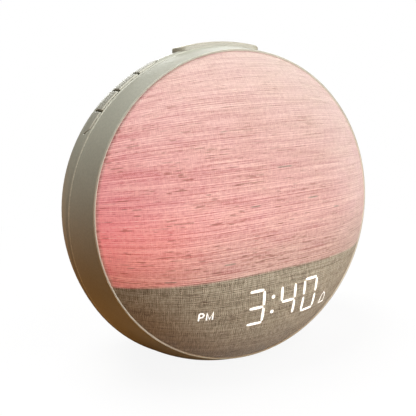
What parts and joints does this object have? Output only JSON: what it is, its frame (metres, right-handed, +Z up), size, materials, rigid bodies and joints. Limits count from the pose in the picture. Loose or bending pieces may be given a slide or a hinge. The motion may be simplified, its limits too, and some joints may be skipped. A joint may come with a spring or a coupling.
{
  "type": "sunrise alarm clock",
  "caption": "Round bedside sunrise lamp and clock: a fabric-covered dome with a lit digital display leans back in a flared drum housing with a top key and side buttons.",
  "frame": {"origin": "middle of the footprint of the bounding box, at the height of the surface the feet stand on", "axes": "+Z up, the face looks towards -Y and leans back a little, +X to the right as seen from the front"},
  "size_m": [0.178, 0.0886, 0.1705],
  "materials": {
    "housing": "satin, fine eroded texture",
    "key_plastic": "satin",
    "cover_plastic": "satin",
    "trim": "satin",
    "linen": "plain weave with slubs, lit from behind",
    "diffuser": "frosted, lets light through",
    "white_plastic": "matte",
    "white_board": "solder mask",
    "lamp_chips": "phosphor",
    "black_plastic": "matte",
    "light_guides": "clear cast resin",
    "green_board": "solder mask",
    "flex": "polyimide film",
    "steel": "plated",
    "chips": "moulded",
    "foot_rubber": "matte silicone",
    "gasket_foam": "foam",
    "cone_paper": "pressed pulp"
  },
  "bodies": {
    "housing": {"trim_ring": "trim", "fabric_cover": "linen", "diffuser": "diffuser", "light_tray": "white_plastic", "light_divider": "white_plastic", "light_board": "white_board", "light_leds": "lamp_chips", "display_frame": "black_plastic", "display_segments": "light_guides", "display_board": "green_board", "display_screws": "steel", "front_ring": "housing", "rear_shell": "housing", "back_cover": "cover_plastic", "back_screws": "steel", "foot_front": "foot_rubber", "foot_rear": "foot_rubber", "snooze_bracket": "white_plastic", "snooze_board": "green_board", "snooze_switch": "black_plastic", "button_carrier": "white_plastic", "button_flex": "flex", "button_switches": "black_plastic", "main_board": "green_board", "main_chips": "chips", "board_screws": "steel", "cell_holder": "black_plastic", "coin_cell": "steel", "speaker_gasket": "gasket_foam", "speaker_basket": "black_plastic", "speaker_cone": "cone_paper", "speaker_magnet": "steel", "inlet_board": "green_board", "power_inlet": "steel"},
    "snooze_key": {"snooze_key": "key_plastic"},
    "button_1": {"button_1": "key_plastic"},
    "button_2": {"button_2": "key_plastic"},
    "button_3": {"button_3": "key_plastic"},
    "button_4": {"button_4": "key_plastic"}
  },
  "joints": [
    {"name": "snooze_press", "type": "slide", "parent": "housing", "child": "snooze_key", "axis": [0, 0, -1], "range_m": [0, 0.0012], "stiffness_N_per_m": 600, "springref_m": -0.0012},
    {"name": "button_1_press", "type": "slide", "parent": "housing", "child": "button_1", "axis": [0.459, 0, -0.8884], "range_m": [0, 0.001], "stiffness_N_per_m": 700, "springref_m": -0.001},
    {"name": "button_2_press", "type": "slide", "parent": "housing", "child": "button_2", "axis": [0.5874, 0, -0.8093], "range_m": [0, 0.001], "stiffness_N_per_m": 700, "springref_m": -0.001},
    {"name": "button_3_press", "type": "slide", "parent": "housing", "child": "button_3", "axis": [0.7025, 0, -0.7117], "range_m": [0, 0.001], "stiffness_N_per_m": 700, "springref_m": -0.001},
    {"name": "button_4_press", "type": "slide", "parent": "housing", "child": "button_4", "axis": [0.8015, 0, -0.598], "range_m": [0, 0.001], "stiffness_N_per_m": 700, "springref_m": -0.001}
  ]
}
